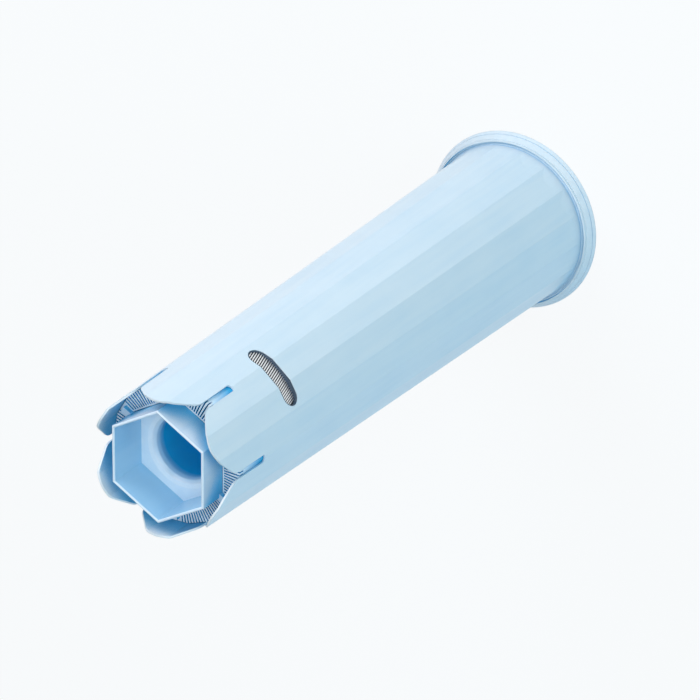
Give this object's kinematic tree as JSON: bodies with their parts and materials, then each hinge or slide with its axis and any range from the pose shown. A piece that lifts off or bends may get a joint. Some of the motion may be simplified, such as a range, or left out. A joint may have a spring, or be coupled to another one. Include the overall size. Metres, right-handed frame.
{
  "type": "water filter cartridge",
  "caption": "Tapered, faceted water filter cartridge with a round flange at its closed end and a petalled crown around a hexagonal docking socket with an outlet port.",
  "frame": {"origin": "centre of the flat face of the end cap that it stands on", "axes": "+Z along the cartridge's axis, from the flange to the crown; a slit of the crown faces -Y"},
  "size_m": [0.0426, 0.0426, 0.1453],
  "materials": {
    "housing_plastic": "pale blue polypropylene, satin moulded",
    "socket_plastic": "pale blue polypropylene, satin moulded",
    "frame_rubber": "dark slate, satin",
    "gauze_steel": "woven stainless wire",
    "inner_plastic": "natural polypropylene",
    "fleece": "white needle felt",
    "granules": "amber ion exchange beads with dark carbon"
  },
  "bodies": {
    "root": {"housing": "housing_plastic", "end_cap": "housing_plastic", "docking_socket": "socket_plastic", "inlet_sieve": "socket_plastic", "gauze_frame": "frame_rubber", "window_gauze": "gauze_steel", "riser_tube": "inner_plastic", "outlet_grid": "inner_plastic", "inlet_grid": "inner_plastic", "outlet_fleece": "fleece", "inlet_fleece": "fleece", "filter_bed": "granules"}
  },
  "joints": []
}
